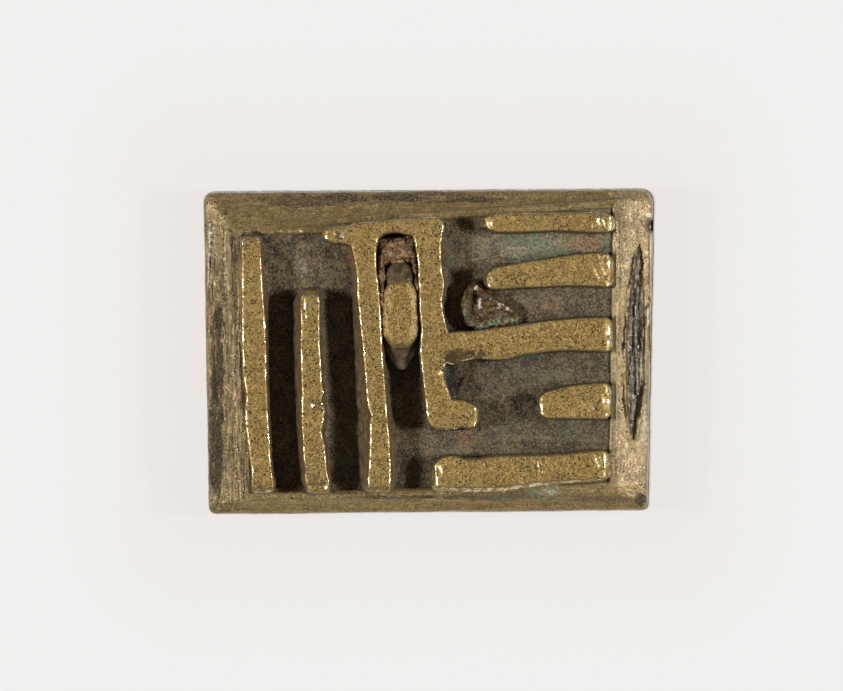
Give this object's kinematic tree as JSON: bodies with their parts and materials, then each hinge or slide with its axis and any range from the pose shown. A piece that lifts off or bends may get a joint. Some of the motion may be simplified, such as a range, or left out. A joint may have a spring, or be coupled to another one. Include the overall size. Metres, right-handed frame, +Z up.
{
  "type": "gold weight",
  "caption": "Small rectangular cast brass gold weight with a sloping border and a raised geometric relief of bars, a cross-armed figure and an almond boss.",
  "frame": {"origin": "centre of the underside", "axes": "+X along the length, towards the end that the rungs run to; +Y across it, towards the edge with the lintel; +Z up through the relief"},
  "size_m": [0.0262, 0.0188, 0.006],
  "materials": {
    "worn_brass": "bar tops handled smooth, dull yellow, speckled with small dark casting pits",
    "border_brass": "worn sloping border with long streaks and rough bright grain on the two ends",
    "field_brass": "dark brown patina in the sunk field with grey-green patches, matt",
    "crust_brass": "rough porous casting metal, coppery brown, green along its lower edge"
  },
  "bodies": {
    "root": {"base_slab": "field_brass", "border_front": "border_brass", "border_right": "border_brass", "border_back": "border_brass", "border_left": "border_brass", "outer_left_bar": "worn_brass", "inner_left_bar": "worn_brass", "lintel": "worn_brass", "left_post": "worn_brass", "right_post": "worn_brass", "lintel_spur": "worn_brass", "cross_arm": "worn_brass", "post_foot": "worn_brass", "top_rung": "worn_brass", "second_rung": "worn_brass", "short_rung": "worn_brass", "bottom_rung": "worn_brass", "almond_boss": "worn_brass", "pocket_lump": "crust_brass", "casting_lump": "crust_brass", "foot_lump": "crust_brass", "rung_lump": "crust_brass", "head_lump": "crust_brass"}
  },
  "joints": []
}
